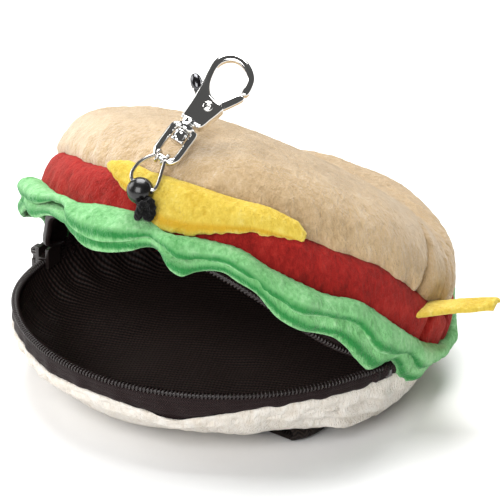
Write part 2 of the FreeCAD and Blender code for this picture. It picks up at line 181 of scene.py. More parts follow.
def build(name, verts, faces, uv=None):
    """verts in millimetres above the zip line."""
    mesh = bpy.data.meshes.new(name)
    pts = (np.asarray(verts, float).reshape(-1, 3) + np.array([0, 0, RING_Z])) * MM
    sizes = np.array([len(f) for f in faces], np.int32) if isinstance(faces, list) else None
    if sizes is None:
        sizes = np.full(len(faces), faces.shape[1], np.int32)
        flat = faces.astype(np.int32).ravel()
    else:
        flat = np.fromiter((i for f in faces for i in f), np.int32)
    mesh.vertices.add(len(pts))
    mesh.vertices.foreach_set("co", pts.astype(np.float32).ravel())
    mesh.loops.add(len(flat))
    mesh.loops.foreach_set("vertex_index", flat)
    mesh.polygons.add(len(sizes))
    starts = np.concatenate([[0], np.cumsum(sizes)[:-1]])
    mesh.polygons.foreach_set("loop_start", starts.astype(np.int32))
    mesh.polygons.foreach_set("loop_total", sizes)
    if uv is not None:
        layer = mesh.uv_layers.new(name="UVMap")
        layer.data.foreach_set("uv", np.asarray(uv, np.float32)[flat].ravel())
    mesh.update(calc_edges=True)
    mesh.validate()
    mesh.shade_smooth()
    return add(name, mesh)


def quads(nu, nv, wrap_u, wrap_v, start=0, flip=False):
    i = np.arange(nu if wrap_u else nu - 1)
    j = np.arange(nv if wrap_v else nv - 1)
    i, j = (a.ravel() for a in np.meshgrid(i, j, indexing="ij"))
    i2, j2 = (i + 1) % nu, (j + 1) % nv
    f = np.stack([i * nv + j, i2 * nv + j, i2 * nv + j2, i * nv + j2], -1) + start
    return f[:, ::-1] if flip else f


def skin(name, p, wrap_v=False, flip=False, cap_end=False):
    """Mesh of a grid of points that closes round its first direction."""
    nu, nv = p.shape[:2]
    faces = quads(nu, nv, True, wrap_v, flip=flip)
    if cap_end:
        ring = [i * nv + nv - 1 for i in range(nu)]
        faces = [list(f) for f in faces] + [ring if not flip else ring[::-1]]
    return build(name, p.reshape(-1, 3), faces)


def thick_sheet(name, p, thickness, wrap_u=False, place=same, nap=0.0, seed=0, uv=None):
    """Closed cloth of rounded edge around a grid of middle points."""
    nu, nv = p.shape[:2]
    p = place(p)
    n = grid_normals(p, wrap_u)
    step_v = np.linalg.norm(np.diff(p, axis=1), axis=-1)
    along = np.concatenate([np.zeros((nu, 1)), np.cumsum(step_v, 1)], 1)
    edge = np.minimum(along, along[:, -1:] - along)
    if not wrap_u:
        step_u = np.linalg.norm(np.diff(p, axis=0), axis=-1)
        across = np.concatenate([np.zeros((1, nv)), np.cumsum(step_u, 0)], 0)
        edge = np.minimum(edge, np.minimum(across, across[-1:] - across))
    x = 1 - np.clip(edge / thickness, 0, 1)
    half = thickness / 2 * np.sqrt(np.clip(1 - x * x, 0.0025, 1))
    fuzz = nap * (noise(p, 1.1, seed) + 0.8 * noise(p, 2.3, seed + 1)) if nap else 0.0
    back_fuzz = nap * (noise(p, 1.1, seed + 2) + 0.8 * noise(p, 2.3, seed + 3)) if nap else 0.0
    front = p + n * (half + fuzz * np.sqrt(np.clip(1 - x * x, 0.05, 1)))[..., None]
    back = p - n * (half + back_fuzz * np.sqrt(np.clip(1 - x * x, 0.05, 1)))[..., None]
    count = nu * nv
    faces = [quads(nu, nv, wrap_u, False), quads(nu, nv, wrap_u, False, count, True)]
    idx = np.arange(count).reshape(nu, nv)
    edges = [(idx[:, 0], True), (idx[:, -1], False)]
    if not wrap_u:
        edges += [(idx[0, :], False), (idx[-1, :], True)]
    for line, up in edges:
        a = line
        b = np.roll(line, -1) if wrap_u else line[1:]
        if not wrap_u:
            a = line[:-1]
        side = np.stack([a, b, b + count, a + count], -1)
        faces.append(side if not up else side[:, ::-1])
    verts = np.concatenate([front.reshape(-1, 3), back.reshape(-1, 3)])
    both = None if uv is None else np.concatenate([uv.reshape(-1, 2)] * 2)
    return build(name, verts, np.concatenate(faces), both)


def resample(points, step):
    """Points at even steps along a smooth curve through the given ones."""
    pts = np.asarray(points, float)
    ext = np.vstack([2 * pts[0] - pts[1], pts, 2 * pts[-1] - pts[-2]])
    fine = []
    for k in range(1, len(ext) - 2):
        t = np.linspace(0, 1, 40, endpoint=False)[:, None]
        a, b, c, d = ext[k - 1], ext[k], ext[k + 1], ext[k + 2]
        fine.append(0.5 * (2 * b + (c - a) * t + (2 * a - 5 * b + 4 * c - d) * t ** 2
                           + (3 * b - a - 3 * c + d) * t ** 3))
    fine = np.vstack(fine + [pts[-1:]])
    s = run_length(fine)
    at = np.linspace(0, s[-1], max(3, int(round(s[-1] / step)) + 1))
    return np.stack([np.interp(at, s, fine[:, i]) for i in range(pts.shape[1])], -1)


def around(count, start=0.0, span=TAU, closed=True):
    return start + span * np.arange(count) / (count if closed else count - 1)


def ring_grid(azimuth, profile):
    """Grid of a profile of (radius, height) turned about Z."""
    a = azimuth[:, None]
    return polar(profile[None, :, 0], a, profile[None, :, 1] + 0 * a)


def table(deg, pairs):
    """Smooth curve through (degrees from the front, value) pairs, shut round the ring."""
    d, value = (np.array(a, float) for a in zip(*pairs))
    d = np.concatenate([d[-2:] - 360, d, d[:2] + 360])
    value = np.concatenate([value[-2:], value, value[:2]])
    slope = np.gradient(value, d)
    k = np.clip(np.searchsorted(d, deg, side="right") - 1, 0, len(d) - 2)
    step = d[k + 1] - d[k]
    t = np.clip((deg - d[k]) / step, 0, 1)
    return ((1 + 2 * t) * (1 - t) ** 2 * value[k] + t * (1 - t) ** 2 * step * slope[k]
            + t * t * (3 - 2 * t) * value[k + 1] + t * t * (t - 1) * step * slope[k + 1])


def front_deg(azimuth):
    """Degrees to the right of the front, from -180 to 180."""
    d = np.degrees(azimuth) + 90
    return (d + 180) % 360 - 180


# ---- materials ----
def material(name):
    m = bpy.data.materials.new(name)
    m.use_nodes = True
    nt = m.node_tree
    return m, nt, nt.nodes["Principled BSDF"]


def set_inputs(bsdf, values):
    for key, value in values.items():
        bsdf.inputs[key].default_value = value


def object_coords(nt):
    return node(nt, "ShaderNodeTexCoord").outputs["Object"]


def node(nt, kind, **values):
    n = nt.nodes.new(kind)
    for key, value in values.items():
        if key in n.inputs:
            n.inputs[key].default_value = value
        else:
            setattr(n, key, value)
    return n


def noise_node(nt, coords, scale, detail=2.0, rough=0.5, stretch=None):
    if stretch:
        m = node(nt, "ShaderNodeMapping")
        m.inputs["Scale"].default_value = stretch
        nt.links.new(coords, m.inputs["Vector"])
        coords = m.outputs[0]
    n = node(nt, "ShaderNodeTexNoise", Scale=scale, Detail=detail, Roughness=rough)
    nt.links.new(coords, n.inputs["Vector"])
    return n.outputs["Fac"]


def ramp(nt, fac, stops):
    r = node(nt, "ShaderNodeValToRGB")
    nt.links.new(fac, r.inputs[0])
    while len(r.color_ramp.elements) < len(stops):
        r.color_ramp.elements.new(0.5)
    for e, (at, colour) in zip(r.color_ramp.elements, stops):
        e.position = at
        e.color = (*colour, 1)
    return r.outputs["Color"]


def mix(nt, fac, a, b):
    m = node(nt, "ShaderNodeMix", data_type="RGBA", blend_type="MIX")
    for value, socket in ((fac, m.inputs[0]), (a, m.inputs[6]), (b, m.inputs[7])):
        if isinstance(value, bpy.types.NodeSocket):
            nt.links.new(value, socket)
        else:
            socket.default_value = value if not isinstance(value, tuple) else (*value, 1)
    return m.outputs[2]


def maths(nt, op, a, b=0.0, c=0.0):
    m = node(nt, "ShaderNodeMath", operation=op)
    for value, socket in zip((a, b, c), m.inputs):
        if isinstance(value, bpy.types.NodeSocket):
            nt.links.new(value, socket)
        else:
            socket.default_value = value
    return m.outputs[0]


def bump(nt, bsdf, height, strength, distance, under=None):
    b = node(nt, "ShaderNodeBump", Strength=strength, Distance=distance)
    nt.links.new(height, b.inputs["Height"])
    if under is not None:
        nt.links.new(under, b.inputs["Normal"])
    nt.links.new(b.outputs[0], bsdf.inputs["Normal"])
    return b.outputs[0]


PILE_LAY = (1.0, 1.0, 0.45)      # the pile's clumps are longer up than across


def plush(name, deep, mid, light, sheen, sheen_tint, rim=None):
    """Short pile: clumps, brushed patches, a bright nap, and a rim colour round V = 0.85."""
    m, nt, bsdf = material(name)
    co = object_coords(nt)
    broad = noise_node(nt, co, 45, 3)
    brushed = noise_node(nt, co, 170, 4, 0.6, PILE_LAY)
    clump = noise_node(nt, co, 700, 5, 0.7, PILE_LAY)
    fibre = noise_node(nt, co, 1900, 2, 0.6, (1.0, 1.0, 0.3))
    body = maths(nt, "MULTIPLY_ADD", broad, 0.2, maths(nt, "MULTIPLY", brushed, 0.3))
    body = maths(nt, "ADD", body, maths(nt, "MULTIPLY", clump, 0.5))
    colour = ramp(nt, body, [(0.34, deep), (0.52, mid), (0.70, light)])
    if rim:
        parts = node(nt, "ShaderNodeSeparateXYZ")
        nt.links.new(node(nt, "ShaderNodeUVMap", uv_map="UVMap").outputs[0], parts.inputs[0])
        edge = maths(nt, "MULTIPLY_ADD", clump, 0.16, parts.outputs[1])
        edge = maths(nt, "ABSOLUTE", maths(nt, "SUBTRACT", edge, 0.91))
        edge = maths(nt, "MULTIPLY_ADD", edge, -10.0, 1.3)
        soft = node(nt, "ShaderNodeClamp")
        nt.links.new(edge, soft.inputs[0])
        colour = mix(nt, soft.outputs[0], colour, rim)
    nt.links.new(colour, bsdf.inputs["Base Color"])
    set_inputs(bsdf, {"Roughness": 0.92, "Specular IOR Level": 0.12, "Sheen Weight": sheen,
                      "Sheen Roughness": 0.36, "Sheen Tint": (*sheen_tint, 1)})
    height = maths(nt, "MULTIPLY_ADD", clump, 1.0, maths(nt, "MULTIPLY", fibre, 0.55))
    first = bump(nt, bsdf, height, 0.9, 0.0012)
    bump(nt, bsdf, brushed, 0.5, 0.0016, first)
    return m


def wave(nt, co, period, angle):
    """Stripes of the given period in metres, turned about Z."""
    m = node(nt, "ShaderNodeMapping")
    m.inputs["Rotation"].default_value = (0, 0, angle)
    nt.links.new(co, m.inputs["Vector"])
    w = node(nt, "ShaderNodeTexWave", Scale=TAU / 20 / period, Distortion=0.4, Detail=1.0)
    w.inputs["Detail Scale"].default_value = 1.5
    w.bands_direction = "X"
    nt.links.new(m.outputs[0], w.inputs["Vector"])
    return w.outputs["Fac"]


def lining_material():
    m, nt, bsdf = material("lining")
    co = object_coords(nt)
    ribs = wave(nt, co, 0.0016, math.radians(62))
    cross = wave(nt, co, 0.0011, math.radians(-28))
    broad = noise_node(nt, co, 60, 3)
    threads = noise_node(nt, co, 1500, 3, 0.6, (1.0, 1.0, 0.4))
    weave = maths(nt, "MULTIPLY_ADD", ribs, 0.65, maths(nt, "MULTIPLY", cross, 0.2))
    weave = maths(nt, "ADD", weave, maths(nt, "MULTIPLY", threads, 0.35))
    colour = ramp(nt, weave, [(0.25, (0.0030, 0.0016, 0.0014)), (0.62, (0.0110, 0.0062, 0.0055)),
                              (0.95, (0.060, 0.034, 0.028))])
    colour = mix(nt, maths(nt, "MULTIPLY", broad, 0.5), colour, (0.0065, 0.0036, 0.0034))
    nt.links.new(colour, bsdf.inputs["Base Color"])
    set_inputs(bsdf, {"Roughness": 0.62, "Specular IOR Level": 0.3, "Sheen Weight": 0.02,
                      "Sheen Tint": (0.8, 0.6, 0.5, 1)})
    bump(nt, bsdf, weave, 0.7, 0.0005)
    return m


def herringbone(name, dark, light, column=0.0011, period=0.0008, rough=0.6):
    """Tape woven in chevrons; needs UVs in metres, along and across."""
    m, nt, bsdf = material(name)
    uv = node(nt, "ShaderNodeUVMap", uv_map="UVMap").outputs[0]
    parts = node(nt, "ShaderNodeSeparateXYZ")
    nt.links.new(uv, parts.inputs[0])
    zig = maths(nt, "PINGPONG", parts.outputs[1], column)
    along = maths(nt, "ADD", parts.outputs[0], zig)
    rows = maths(nt, "SINE", maths(nt, "MULTIPLY", along, TAU / period))
    seam = maths(nt, "PINGPONG", maths(nt, "DIVIDE", parts.outputs[1], column), 0.5)
    height = maths(nt, "MULTIPLY_ADD", rows, 0.5, maths(nt, "MULTIPLY", seam, 0.8))
    co = object_coords(nt)
    grain = noise_node(nt, co, 900, 3, 0.6)
    height = maths(nt, "ADD", height, maths(nt, "MULTIPLY", grain, 0.6))
    colour = ramp(nt, height, [(0.1, dark), (0.9, light)])
    nt.links.new(colour, bsdf.inputs["Base Color"])
    set_inputs(bsdf, {"Roughness": rough, "Specular IOR Level": 0.16, "Sheen Weight": 0.03})
    bump(nt, bsdf, height, 0.6, 0.0003)
    return m


def metal(name, colour, rough):
    m, nt, bsdf = material(name)
    co = object_coords(nt)
    grain = noise_node(nt, co, 500, 3)
    worn = tuple(0.8 * c for c in colour)
    base = mix(nt, maths(nt, "MULTIPLY", grain, 0.25), colour, worn)
    nt.links.new(base, bsdf.inputs["Base Color"])
    bsdf.inputs["Metallic"].default_value = 1.0
    r = maths(nt, "MULTIPLY_ADD", grain, 0.04, rough)
    nt.links.new(r, bsdf.inputs["Roughness"])
    bump(nt, bsdf, noise_node(nt, co, 260, 2), 0.05, 0.0004)
    return m


def gloss(name, colour, rough, speck=0.3, coat=0.0):
    m, nt, bsdf = material(name)
    co = object_coords(nt)
    grain = noise_node(nt, co, 700, 3)
    pale = tuple(1.8 * c for c in colour)
    base = mix(nt, maths(nt, "MULTIPLY", grain, speck), colour, pale)
    nt.links.new(base, bsdf.inputs["Base Color"])
    set_inputs(bsdf, {"Roughness": rough, "Coat Weight": coat})
    bump(nt, bsdf, grain, 0.08, 0.0003)
    return m


TAN = plush("plush_tan", (0.42, 0.28, 0.14), (0.60, 0.43, 0.245), (0.76, 0.61, 0.42),
            0.85, (1.0, 0.95, 0.88))
CREAM = plush("plush_cream", (0.70, 0.61, 0.50), (0.86, 0.80, 0.72), (0.94, 0.91, 0.86),
              0.5, (1.0, 0.96, 0.9))
RED = plush("plush_red", (0.16, 0.008, 0.007), (0.36, 0.018, 0.015), (0.54, 0.045, 0.035),
            0.3, (1.0, 0.35, 0.3))
GREEN = plush("plush_green", (0.07, 0.32, 0.075), (0.24, 0.58, 0.235), (0.46, 0.76, 0.42),
              0.4, (0.75, 1.0, 0.75), rim=(0.03, 0.24, 0.055))
YELLOW = plush("plush_yellow", (0.60, 0.38, 0.03), (0.78, 0.58, 0.09), (0.88, 0.74, 0.24),
               0.35, (1.0, 0.95, 0.6), rim=(0.68, 0.40, 0.03))
LINING = lining_material()
TAPE = herringbone("tape", (0.0045, 0.0018, 0.0019), (0.026, 0.0125, 0.0125))
WEBBING = herringbone("webbing", (0.006, 0.004, 0.0035), (0.030, 0.021, 0.017),
                      0.0016, 0.0011, 0.75)
COIL = gloss("coil", (0.016, 0.010, 0.0095), 0.3)
BEAD = gloss("ball", (0.006, 0.0055, 0.0055), 0.27, 0.2, 0.15)
CORD = plush("cord", (0.003, 0.003, 0.003), (0.008, 0.0075, 0.008), (0.02, 0.019, 0.02),
             0.2, (0.6, 0.6, 0.6))
CHROME = metal("chrome", (0.80, 0.79, 0.77), 0.07)
# darker copy of the chrome: painted shade and painted dark reflection for the thumb pad on the
# lever's shadow side
CHROME_PAINTED_SHADE = metal("chrome_painted_shade", (0.10, 0.10, 0.105), 0.16)
WIRE = metal("wire", (0.62, 0.60, 0.57), 0.18)
STEEL = metal("spring_steel", (0.5, 0.5, 0.5), 0.3)
ENAMEL = gloss("zip_metal", (0.020, 0.014, 0.013), 0.3, 0.3, 0.3)


def dress(obj, mat):
    obj.data.materials.clear()
    obj.data.materials.append(mat)
    return obj


def nap(p, wrap_u, wrap_v, amount, seed, sign=1.0):
    """Small uneven pile over a grid."""
    n = grid_normals(p, wrap_u, wrap_v) * sign
    d = amount * (noise(p, 1.3, seed) + 0.9 * noise(p, 2.9, seed + 1))
    return p + n * d[..., None]


def finish_skin(obj, mat, slot, body, *nodes):
    """Gives a piece its finish and its body; with body None or sag it is only baked in place."""
    dress(obj, mat)
    if body is None:
        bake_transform(obj)
    elif body == "sag":
        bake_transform(obj)
    else:
        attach(obj, body)
    if nodes:
        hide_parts(*nodes)
    return obj


# ---- top half ----
# Edges as (degrees from the front, height above the shut zip). BUN_SEAM to CHEESE_LOW, and
# TAPE_BORDER, break a rule of this work: 94 of their 153 pairs are a scratch program's output, from
# points picked on the photograph. The others are listed one by one.
SEAM_Z = 24.0                    # usual height of the bun's seam
BUN_SEAM = [(-180, 24.0), (-120, 24.0), (-85, 24.0), (-54, 23.8), (-38, 23.3), (-30, 22.7),
            (-18, 22.2), (0, 22.6), (25, 24.0), (48, 24.9), (60, 25.5), (69, 26.2), (78, 25.6),
            (88, 24.6), (112, 23.5), (145, 24.0)]
LETTUCE_TOP = [(-180, 12.0), (-140, 11.0), (-100, 12.5), (-75, 11.5), (-48, 12.2), (-33, 9.3),
               (-25, 7.9), (-16, 7.8), (-6, 10.3), (0, 11.1), (5.5, 11.6), (14, 8.4), (22, 11.0),
               (31, 12.8), (42, 10.8), (50, 10.4), (58, 10.5), (68, 13.2), (84, 10.9), (96, 10.6),
               (104, 11.8), (125, 12.5), (150, 11.2)]
LOWER_EDGE = [(-180, 1.0), (-165, 3.5), (-150, -0.5), (-134, 3.5), (-118, 0.0), (-102, 3.0),
              (-88, 0.5), (-76, 3.5), (-64, 0.8), (-55, 1.5), (-47, 4.0), (-38, 0.4), (-33, -0.4),
              (-24, 1.8), (-16, 0.0), (-8, -4.0), (-0.5, -3.4), (6, 0.1), (10.6, 3.9), (18, -1.5),
              (22.5, -1.6), (26, 2.2), (30, 4.3), (35, 3.3), (41.5, 1.9), (47, -1.7), (54, -2.8),
              (65, -0.4), (73, -3.4), (81, -4.0), (84, -0.7), (87, 1.5), (95, -2.7), (102.5, 0.9),
              (106, 6.3), (114, 6.0), (124, 1.0), (136, 3.5), (150, 0.0), (165, 3.5)]
UPPER_EDGE = [(-180, 4.5), (-160, 7.5), (-142, 4.0), (-124, 7.0), (-106, 4.0), (-90, 7.0),
              (-72, 4.5), (-56, 7.5), (-42, 5.0), (-30, 4.0), (-19.5, 6.8), (-13, 0.6),
              (-6, -1.4), (1, -0.5), (6, 2.4), (10, 5.1), (15, 4.4), (19, 2.4), (25, 5.0),
              (30, 6.7), (35, 6.0), (44, 3.0), (52, 1.5), (60, 4.5), (68, 6.0), (76, 1.5),
              (84, 3.0), (90, 5.5), (98, 2.5), (106, 8.5), (116, 7.5), (130, 4.0), (145, 7.0),
              (160, 4.0)]


def bun_lift(az):
    """How much higher the bun's seam sits than its usual height."""
    return table(front_deg(az), BUN_SEAM) - SEAM_Z


def make_top_bun():
    az = around(640)
    prof = resample([(64.0, 22.0), (67.2, 22.8), (68.9, 24.6), (69.6, 28.5), (67.8, 36.0),
                     (61.5, 43.4), (50.0, 49.0), (34.0, 52.4), (17.0, 53.8), (0.4, 54.2)], 0.7)
    p = ring_grid(az, prof)
    r = np.hypot(p[..., 0], p[..., 1])
    rise = smooth(r, 5, 66)
    p[..., 2] += bun_lift(az)[:, None] * smooth(r, 30, 66)
    n = grid_normals(p, True)
    lumps = 1.3 * noise(p, 34, 3) + 0.6 * noise(p, 15, 4)
    near_seam = np.exp(-np.abs(p[..., 2] - 26) / 4.0)
    pucker = 0.55 * np.sin(az[:, None] * 41 + 3 * noise(p, 12, 5)) * near_seam
    p = p + n * ((lumps + pucker) * (0.35 + 0.65 * rise))[..., None]
    p = open_out(p)
    n = grid_normals(p, True)
    q = p @ ALONG_Q
    side = smooth(np.abs(p[..., 0]), 18, 52) * (0.6 + 0.4 * np.sign(p[..., 0]))
    wander = 3.0 * noise(p, 14, 6)
    for at, depth, width in ((13.0, 2.6, 2.0), (21.0, 3.4, 2.3),
                             (31.0, 3.0, 3.0), (43.0, 2.0, 3.4)):
        groove = np.exp(-((q + wander - at) / width) ** 2)
        p = p - n * (depth * side * groove * smooth(r, 25, 50))[..., None]
    crease = np.exp(-((q + 1.0 + wander * 0.5) / 1.4) ** 2)
    crease = crease * smooth(p[..., 0], 52, 66) * smooth(r, 40, 60)
    p = p - n * (2.2 * crease)[..., None]
    p = nap(p, True, False, 0.16, 11)
    obj = skin("top_bun_skin", p, cap_end=True)
    return finish_skin(obj, TAN, "plush_tan", None,
                       "top_bun_cover", "top_bun_padding", "top_bun_rear")


def make_tomato():
    az = around(640)
    prof = resample([(63.0, 7.2), (66.5, 6.6), (69.4, 7.4), (70.6, 11.0), (71.3, 17.0),
                     (70.6, 21.5), (68.9, 24.0), (65.5, 24.8), (62.0, 24.2)], 0.75)
    p = ring_grid(az, prof)
    out = smooth(np.hypot(p[..., 0], p[..., 1]), 64, 69)
    up = smooth(p[..., 2], 16, 24)
    p[..., 2] += bun_lift(az)[:, None] * up
    n = grid_normals(p, True)
    d = 0.8 * noise(p, 20, 21) + 0.5 * noise(p, 9, 22)
    near_seam = np.exp(-np.abs(p[..., 2] - 12.5) / 2.2)
    d += 0.35 * np.sin(az[:, None] * 47 + 4 * noise(p, 15, 23)) * near_seam
    p = p + n * (d * out)[..., None]
    p = open_out(p)
    n = grid_normals(p, True)
    q = p @ ALONG_Q
    crease = np.exp(-((q - 9.0 + noise(p, 9, 25)) / 1.5) ** 2)
    crease = crease + 0.8 * np.exp(-((q - 27.0) / 2.2) ** 2)
    p = p - n * (2.2 * crease * out * smooth(np.abs(p[..., 0]), 30, 55))[..., None]
    p = nap(p, True, False, 0.15, 24)
    obj = skin("tomato_skin", p)
    return finish_skin(obj, RED, "plush_red", None, "tomato_front", "tomato_rear", "core_padding")


def make_frill(name, root_r, top, edge_r, edge, seed, thickness, slot_nodes):
    """Ruffled leaf hanging outside the pouch from its top line to a lobed edge."""
    az = around(900)
    s = np.linspace(0, 1, 26)[None, :]
    a = az[:, None]
    ring = np.stack([np.cos(az), np.sin(az), 0 * az], -1) * 70
    soft = np.convolve(np.tile(edge, 3), np.hanning(75) / np.hanning(75).sum(), "same")[900:1800]
    lobe = np.clip((soft - edge) / 2.6, -1.2, 1.2)
    roll = 1.5 * noise(ring, 13, seed) + 0.9 * noise(ring, 6, seed + 1)
    flare = (1.3 * lobe + 1.1 * roll)[:, None] * s ** 1.5
    bow = 2.6 * np.sin(math.pi * s ** 0.75) * (1 + 0.35 * noise(ring, 11, seed + 2)[:, None])
    r = root_r + (edge_r - root_r) * s ** 0.8 + bow + flare
    h = top[:, None] + (edge - top)[:, None] * s ** 1.15 + 0.35 * bow
    end = smooth(front_deg(az), 72, 96) * (1 - smooth(front_deg(az), 118, 150))
    far_end = smooth(-front_deg(az), 50, 80) * (1 - smooth(-front_deg(az), 112, 150))
    r = r - (2.6 * end + 2.0 * far_end)[:, None] * s ** 0.6
    curl = np.sin(math.pi * np.clip((s - 0.72) / 0.28, 0, 1) / 2) ** 2
    r = r - curl * (0.9 + 0.9 * np.clip(lobe, 0, 1))[:, None]
    twist = 2.4 * np.gradient(lobe + 0.6 * roll, az)[:, None] / 60.0 * s ** 1.4 / root_r
    p = np.stack([r * np.cos(a + twist), r * np.sin(a + twist), h], -1)
    grain = noise(p, 7, seed + 4) * 0.7 + noise(p, 3.4, seed + 5) * 0.35
    p = p + (grain * (0.3 + 0.7 * s))[..., None] * np.stack([np.cos(a), np.sin(a), 0 * a], -1)
    uv = np.stack([a / TAU + 0 * s, s + 0 * a], -1)
    obj = thick_sheet(name, p, thickness, wrap_u=True, place=open_out,
                      nap=0.2, seed=seed + 3, uv=uv)
    return finish_skin(obj, GREEN, "plush_green", None, *slot_nodes)


def make_lettuce():
    d = front_deg(around(900))
    low, high, top = table(d, LOWER_EDGE), table(d, UPPER_EDGE), table(d, LETTUCE_TOP)
    make_frill("lettuce_frill_lower", 67.4, top - 3.0, 72.6, low, 40, 2.6,
               ("lettuce_lower", "lettuce_rear"))
    make_frill("lettuce_frill_upper", 69.0, top - 0.6, 75.2, np.maximum(high, low + 1.8), 60, 2.6,
               ("lettuce_upper",))


CHEESE_TOP = [(-10.2, 23.0), (-9, 24.4), (-5, 26.4), (2.3, 25.4), (11, 26.4), (25, 27.3),
              (35.4, 29.0), (42.8, 28.1), (46.2, 25.0)]
CHEESE_LOW = [(-10.2, 22.6), (-5, 18.5), (1.4, 15.6), (5.2, 15.4), (5.9, 11.0), (7.4, 10.3),
              (11.4, 9.3), (16.9, 10.2), (21.7, 12.5), (27.5, 15.8), (33.2, 19.2), (40.6, 21.5),
              (45.5, 23.4), (46.2, 24.4)]


def make_cheese_front():
    nu, nv = 150, 46
    d = np.linspace(-10.2, 46.2, nu)
    high = np.interp(d, *zip(*CHEESE_TOP))
    low = np.interp(d, *zip(*CHEESE_LOW))
    v = np.linspace(0, 1, nv)[None, :]
    h = high[:, None] + (low - high)[:, None] * v
    flat = np.stack([d[:, None] + 0 * v, h, 0 * h], -1)
    ragged = smooth(v, 0.75, 1.0)
    h = h - ragged * 0.5 * noise(flat * np.array([1.2, 0, 0]), 1.6, 83)
    bulge = np.sin(math.pi * np.clip(v, 0, 1) ** 0.8)
    r = 71.6 + 1.6 * bulge + 0.5 * v + 0.7 * noise(flat, 9, 80)
    r += 1.6 * smooth(d, 28, 46)[:, None] * (1 - 0.5 * v)
    r += 1.1 * np.exp(-((d[:, None] - 6.0 - 0.25 * (h - 15)) / 1.6) ** 2)
    r -= 0.8 * smooth(h, 23.5, 27.0) * (1 - smooth(d, 28, 46))[:, None]
    a = np.radians(d - 90)[:, None]
    p = polar(r, a, h)
    uv = np.stack([d[:, None] / 60 + 0 * v, v + 0 * d[:, None]], -1)
    obj = thick_sheet("cheese_flap_front", p, 2.4, place=lid_out, nap=0.16, seed=81, uv=uv)
    return finish_skin(obj, YELLOW, "plush_yellow", "lid", "cheese_front")


def make_cheese_right():
    nu, nv = 60, 46
    u = np.linspace(0, 1, nu)[:, None]
    v = np.linspace(0, 1, nv)[None, :]
    half = 13.6 * (1 - u) ** 0.8 + 0.6
    x = 66.5 + 25.0 * u
    y = 10.0 + (2 * v - 1) * half - 2.0 * u
    h = 25.2 + 6.4 * u - 11.0 * (1 - v) ** 2.2 * (1 - 0.7 * u) + 1.1 * np.sin(math.pi * v)
    p = np.stack([x + 0 * v, y, h + 0 * x], -1)
    p[..., 2] += 0.5 * noise(p, 8, 92)
    uv = np.stack([u + 0 * v, 0.5 + 0 * u + 0 * v], -1)
    obj = thick_sheet("cheese_flap_right", p, 2.4, place=lid_out, nap=0.16, seed=91, uv=uv)
    return finish_skin(obj, YELLOW, "plush_yellow", "lid", "cheese_right")


# ---- bottom half ----
BORDER_Z = -4.2                  # usual height of the tape's lower border
LINING_FLOOR = 7.0               # above the ground
TAPE_BORDER = [(-180, -4.5), (-130, -4.0), (-90, -4.5), (-49, -4.4), (-33, -2.9), (-15, -4.2),
               (-2.5, -3.6), (8, -3.9), (18, -5.1), (26, -6.1), (35, -4.7), (46, -2.5),
               (59, -1.6), (74, -2.3), (86, -2.6), (110, -4.0), (145, -4.5)]
ROUND_SIDE = [(67.2, -9.0), (67.6, -6.0), (68.5, -4.3), (69.2, -5.4), (68.4, -7.6), (66.2, -10.4),
              (61.4, -14.6), (54.0, -18.6), (46.0, -21.4), (38.0, -22.8)]
FULL_SIDE = [(67.2, -9.0), (67.6, -6.0), (68.5, -4.3), (69.5, -5.8), (69.3, -9.0), (68.2, -12.4),
             (65.0, -17.2), (58.8, -20.8), (50.0, -22.4), (42.0, -22.8)]


def blend_grid(az, first, second, weight):
    """Grid turning from one profile to another round the ring."""
    count = 90
    pair = []
    for prof in (first, second):
        fine = resample(prof, 0.2)
        at = np.linspace(0, len(fine) - 1, count)
        pair.append(np.stack([np.interp(at, np.arange(len(fine)), fine[:, i]) for i in (0, 1)], -1))
    w = weight[:, None]
    r = pair[0][None, :, 0] * (1 - w) + pair[1][None, :, 0] * w
    h = pair[0][None, :, 1] * (1 - w) + pair[1][None, :, 1] * w
    return polar(r, az[:, None], h)


def make_bottom_bun():
    az = around(600)
    base = -RING_Z
    d = front_deg(az)
    full = smooth(d, 52, 76) * (1 - smooth(d, 120, 150))
    p = blend_grid(az, ROUND_SIDE, FULL_SIDE, full)
    rim = smooth(p[..., 2], -14, -6)
    p[..., 2] += (table(d, TAPE_BORDER) - BORDER_Z)[:, None] * rim
    inner = np.linspace(1, 0.01, 14)[None, 1:, None] * p[:, -1:, :]
    inner[..., 2] = base + 0.15
    p = np.concatenate([p, inner], 1)
    n = grid_normals(p, True)
    wall = smooth(p[..., 2], base + 1.0, base + 5.0) * smooth(p[..., 2], -4.0, -7.0)
    lumps = 0.9 * noise(p, 22, 31) + 0.5 * noise(p, 9, 32)
    near_seam = np.exp(-np.abs(p[..., 2] + 8) / 3.5)
    lumps += 0.6 * np.sin(az[:, None] * 39 + 4 * noise(p, 18, 33)) * near_seam
    right = np.exp(-((d - 78) / 16) ** 2)[:, None]
    waves = np.sin(p[..., 2] * 1.3 + 2.2 * noise(p, 12, 35) + az[:, None] * 9)
    lumps += 1.1 * right * smooth(p[..., 2], -6.0, -9.5) * waves
    p = p - n * (lumps * wall)[..., None]
    strap_low, strap_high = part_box("belt_loop")
    mid_y = (strap_low.y + strap_high.y) / 2 / MM
    half = (strap_high.y - strap_low.y) / 2 / MM
    groove = smooth(np.abs(p[..., 1] - mid_y), half + 2.5, half + 0.6)
    roof = (strap_high.z / MM) - RING_Z + 0.4
    p[..., 2] = np.where(p[..., 2] < roof, p[..., 2] + (roof - p[..., 2]) * groove, p[..., 2])
    p = nap(p, True, False, 0.13, 34, -1.0)
    obj = skin("bottom_bun_skin", p, flip=True, cap_end=True)
    return finish_skin(obj, CREAM, "plush_cream", "base", "bottom_bun_cover", "bottom_bun_padding")


